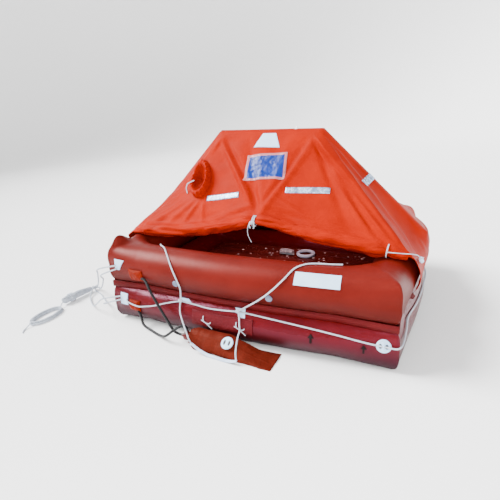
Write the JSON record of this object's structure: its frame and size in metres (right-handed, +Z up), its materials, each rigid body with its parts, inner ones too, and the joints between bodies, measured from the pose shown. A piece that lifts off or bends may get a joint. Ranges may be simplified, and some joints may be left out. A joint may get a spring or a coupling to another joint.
{
  "type": "inflatable life raft",
  "caption": "Rectangular inflatable life raft of two stacked tubes with an arched cloth canopy, a rolled door flap, lifelines, a gas cylinder pocket and a coiled bow line.",
  "frame": {"origin": "on the flat underside of the floor, under the middle of the tubes, level with the ground", "axes": "+X to the raft's right along its long side, +Y to its back, away from the entrance, +Z up"},
  "size_m": [2.5613, 1.9866, 1.2163],
  "materials": {
    "hull_upper": "orange-red coated fabric, satin",
    "hull_lower": "dark red coated fabric, satin",
    "arch": "orange-red coated fabric, satin",
    "band": "dark red tape, matte",
    "floor": "dark coated fabric, satin",
    "cloth": "bright orange coated cloth",
    "pocket": "orange-brown heavy cloth",
    "rope": "white laid rope",
    "white_patch": "white coated fabric",
    "blue_sign": "blue panel, blank",
    "reflector": "silver reflective tape",
    "grey_plug": "grey plastic",
    "hose": "black rubber",
    "cylinder": "dark red paint",
    "valve": "dark red plastic",
    "strap": "blue and white webbing",
    "lamp": "white plastic"
  },
  "bodies": {
    "root": {"arch_tube": "arch", "blank_patch": "white_patch", "blank_plate": "white_patch", "boarding_rope_left": "rope", "boarding_rope_right": "rope", "bridle_knot": "rope", "bridle_leg_1": "rope", "bridle_leg_2": "rope", "bridle_leg_3": "rope", "bridle_leg_4": "rope", "bridle_patch_lower": "white_patch", "bridle_patch_upper": "white_patch", "canopy": "cloth", "canopy_light": "lamp", "corner_toggle": "lamp", "disc_patch_back_left": "white_patch", "disc_patch_back_right": "white_patch", "disc_patch_front_right": "white_patch", "entrance_roll": "cloth", "floor": "floor", "gas_cylinder": "cylinder", "gas_pocket": "pocket", "grey_plug_left": "grey_plug", "grey_plug_right": "grey_plug", "hose_cover_lower": "cloth", "hose_cover_upper": "cloth", "hose_lower": "hose", "hose_upper": "hose", "joining_band": "band", "knot_left": "rope", "knot_middle": "rope", "lifeline_back": "rope", "lifeline_front_left": "rope", "lifeline_front_middle": "rope", "lifeline_front_right": "rope", "lifeline_left": "rope", "lifeline_right": "rope", "lower_tube": "hull_lower", "painter_bundle": "rope", "painter_coil": "rope", "painter_tail": "rope", "pocket_disc": "white_patch", "reflective_tape_back_left": "reflector", "reflective_tape_back_right": "reflector", "reflective_tape_left": "reflector", "reflective_tape_middle": "reflector", "reflective_tape_right": "reflector", "side_valve": "valve", "sign_panel": "blue_sign", "step_rope_left": "rope", "step_rope_right": "rope", "step_strap": "strap", "stowage_flap": "hull_lower", "throwing_line": "rope", "throwing_ring": "rope", "upper_tube": "hull_upper", "window_sleeve": "cloth"}
  },
  "joints": []
}
